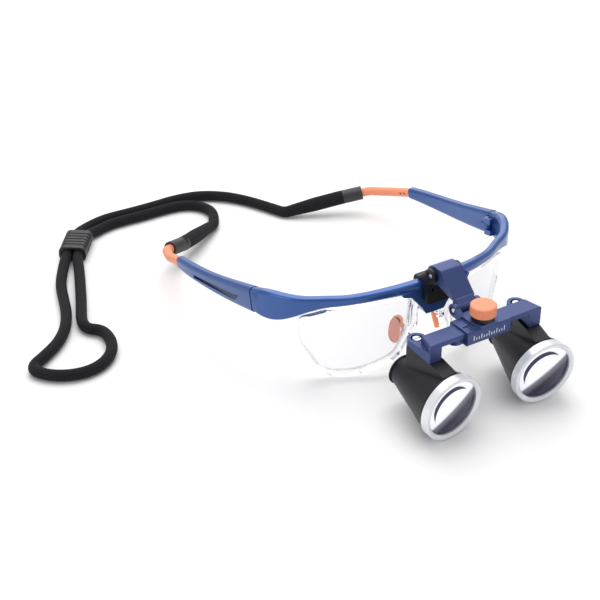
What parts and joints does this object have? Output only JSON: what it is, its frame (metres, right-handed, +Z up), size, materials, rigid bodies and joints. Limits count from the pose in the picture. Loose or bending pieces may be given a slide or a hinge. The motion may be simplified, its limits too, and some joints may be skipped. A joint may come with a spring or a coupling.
{
  "type": "dental loupes",
  "caption": "Flip-up magnifying spectacles with twin tapered barrels, adjustable bar, clear lenses, slim curved temples and a neck strap.",
  "frame": {"origin": "middle of the spectacles and barrels on the surface they lie on, without the free strap", "axes": "+X to the wearer's left, +Y from the objectives back towards the wearer, +Z up"},
  "size_m": [0.2544, 0.2863, 0.0635],
  "materials": {
    "navy_metal": "satin",
    "frame_blue": "satin",
    "black_metal": "satin",
    "black_plastic": "satin",
    "silver": "satin",
    "steel": "brushed",
    "screw_steel": "polished",
    "optical_glass": "gloss",
    "clear_plastic": "gloss",
    "orange_plastic": "satin",
    "orange_rubber": "satin",
    "grey_rubber": "matte",
    "strap_knit": "matte"
  },
  "bodies": {
    "frame": {"brow_frame": "frame_blue", "clamp_block": "black_metal", "clamp_rear_jaw": "black_metal", "clamp_screws": "screw_steel", "clear_rim_left": "clear_plastic", "clear_rim_right": "clear_plastic", "cord_slider": "black_plastic", "nose_bridge": "clear_plastic", "nose_pad_left": "orange_rubber", "nose_pad_right": "orange_rubber", "spectacle_lens_left": "clear_plastic", "spectacle_lens_right": "clear_plastic", "strap_cord_left": "strap_knit", "strap_cord_right": "strap_knit", "strap_loop": "strap_knit", "temple_hinge_pin_left": "steel", "temple_hinge_pin_right": "steel", "upper_hinge_pin": "steel"},
    "temple_right": {"temple_arm_right": "frame_blue", "temple_inlay_right": "black_plastic", "temple_tip_right": "orange_plastic", "strap_grip_right": "grey_rubber", "strap_end_right": "strap_knit"},
    "barrel_right": {"barrel_shell_right": "black_metal", "objective_ring_right": "silver", "objective_lens_right": "optical_glass", "objective_spacer_right": "black_metal", "field_stop_right": "black_metal", "eyepiece_lens_right": "optical_glass", "eyepiece_ring_right": "black_metal"},
    "slider_right": {"rack_arm_right": "navy_metal", "pivot_screw_right": "screw_steel"},
    "temple_left": {"temple_arm_left": "frame_blue", "temple_inlay_left": "black_plastic", "temple_tip_left": "orange_plastic", "strap_grip_left": "grey_rubber", "strap_end_left": "strap_knit"},
    "barrel_left": {"barrel_shell_left": "black_metal", "objective_ring_left": "silver", "objective_lens_left": "optical_glass", "objective_spacer_left": "black_metal", "field_stop_left": "black_metal", "eyepiece_lens_left": "optical_glass", "eyepiece_ring_left": "black_metal"},
    "slider_left": {"rack_arm_left": "navy_metal", "pivot_screw_left": "screw_steel"},
    "flip_arm": {"flip_arm": "navy_metal"},
    "bar": {"bar_housing": "navy_metal", "lower_hinge_pin": "steel"},
    "knob": {"adjust_knob": "orange_plastic", "pinion_shaft": "black_metal", "pinion_clip": "steel"}
  },
  "joints": [
    {"name": "temple_right_fold", "type": "hinge", "parent": "frame", "child": "temple_right", "pos_m": [-0.0708, -0.02283, 0.03996], "axis": [0.1045, 0.1846, 0.9772], "range_deg": [-60, 0]},
    {"name": "temple_left_fold", "type": "hinge", "parent": "frame", "child": "temple_left", "pos_m": [0.0708, -0.02283, 0.03996], "axis": [0, 0.1857, 0.9826], "range_deg": [0, 60]},
    {"name": "flip_up", "type": "hinge", "parent": "frame", "child": "flip_arm", "pos_m": [0, -0.07503, 0.05856], "axis": [-1, 0, 0], "range_deg": [0, 75]},
    {"name": "bar_tilt", "type": "hinge", "parent": "flip_arm", "child": "bar", "pos_m": [0, -0.09303, 0.04856], "axis": [-1, 0, 0], "range_deg": [-15, 30]},
    {"name": "pd_slide_right", "type": "slide", "parent": "bar", "child": "slider_right", "axis": [-1, 0, 0], "range_m": [-0.003, 0.005]},
    {"name": "pd_slide_left", "type": "slide", "parent": "bar", "child": "slider_left", "axis": [1, 0, 0], "range_m": [-0.003, 0.005]},
    {"name": "knob_turn", "type": "hinge", "parent": "bar", "child": "knob", "pos_m": [0, -0.10583, 0.05306], "axis": [0, 0, 1], "range_deg": [-76.5, 127.5]},
    {"name": "convergence_right", "type": "hinge", "parent": "slider_right", "child": "barrel_right", "pos_m": [-0.03, -0.09513, 0.04006], "axis": [0, 0, 1], "range_deg": [-5, 5]},
    {"name": "convergence_left", "type": "hinge", "parent": "slider_left", "child": "barrel_left", "pos_m": [0.03, -0.09513, 0.04006], "axis": [0, 0, 1], "range_deg": [-5, 5]}
  ],
  "couplings": [
    {"joint": "pd_slide_left", "follows": "pd_slide_right", "ratio": 1},
    {"joint": "knob_turn", "follows": "pd_slide_right", "rad_per_m": 444.44}
  ]
}
